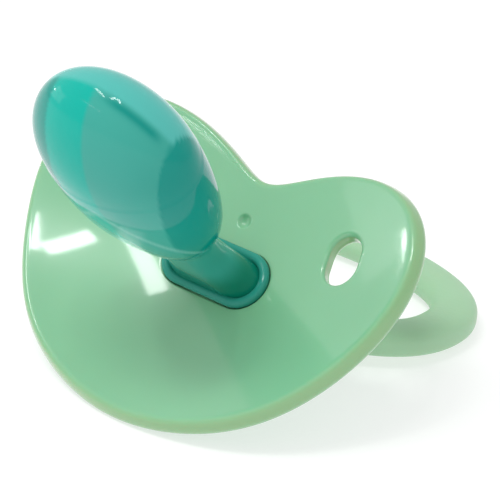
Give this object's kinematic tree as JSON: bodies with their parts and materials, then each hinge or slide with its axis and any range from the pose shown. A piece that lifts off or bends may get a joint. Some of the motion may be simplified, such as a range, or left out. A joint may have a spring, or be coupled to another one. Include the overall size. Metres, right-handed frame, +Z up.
{
  "type": "pacifier",
  "caption": "Baby pacifier with a heart-shaped vented shield, a hollow orthodontic silicone teat and a swinging ring handle.",
  "frame": {"origin": "on the surface that the pacifier lies on, below the middle of its box", "axes": "+Z up from that surface; +Y from the mouth side towards the handle; +X across the face; the YZ plane is the mirror plane"},
  "size_m": [0.0452, 0.0459, 0.0356],
  "materials": {
    "shield_plastic": "moulded, polished",
    "teat_silicone": "translucent, smooth",
    "plug_plastic": "as moulded",
    "cap_plastic": "moulded, satin",
    "ring_plastic": "moulded, satin"
  },
  "bodies": {
    "mouthpiece": {"shield": "shield_plastic", "teat": "teat_silicone", "teat_plug": "plug_plastic", "rear_cap": "cap_plastic"},
    "handle": {"ring_handle": "ring_plastic"}
  },
  "joints": [
    {"name": "ring_swing", "type": "hinge", "parent": "mouthpiece", "child": "handle", "pos_m": [0, 0.00266, 0.0027], "axis": [1, 0, 0], "range_deg": [-162, 73]}
  ]
}
